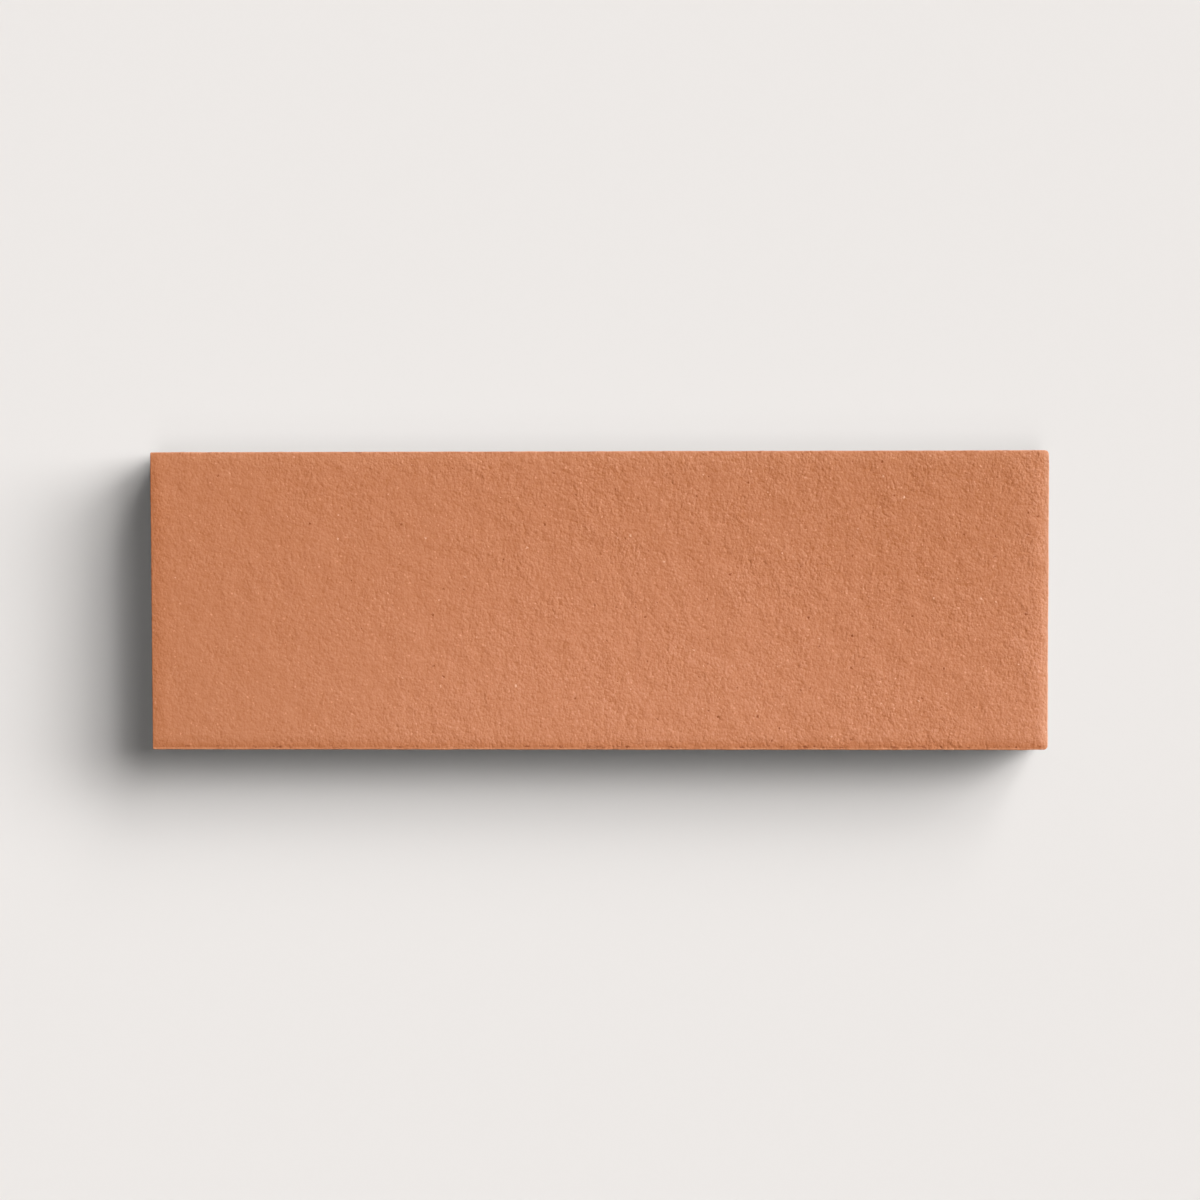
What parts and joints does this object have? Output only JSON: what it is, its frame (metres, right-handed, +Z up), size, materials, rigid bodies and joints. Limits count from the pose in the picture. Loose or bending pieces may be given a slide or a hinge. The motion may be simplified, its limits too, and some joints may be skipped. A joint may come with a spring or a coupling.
{
  "type": "terracotta tile",
  "caption": "Long flat unglazed tile with softly rolled top edges and dovetail grooves along its bed, for laying on floors or facing walls.",
  "frame": {"origin": "centre of the tile's outline, in the plane of the rib faces that it lies on", "axes": "+X along the length towards the end with the widest rolled band, +Y across the width towards the far edge, +Z up out of the top face"},
  "size_m": [0.3, 0.1, 0.02],
  "materials": {
    "terracotta": "matte"
  },
  "bodies": {
    "root": {"tile_body": "terracotta"}
  },
  "joints": []
}
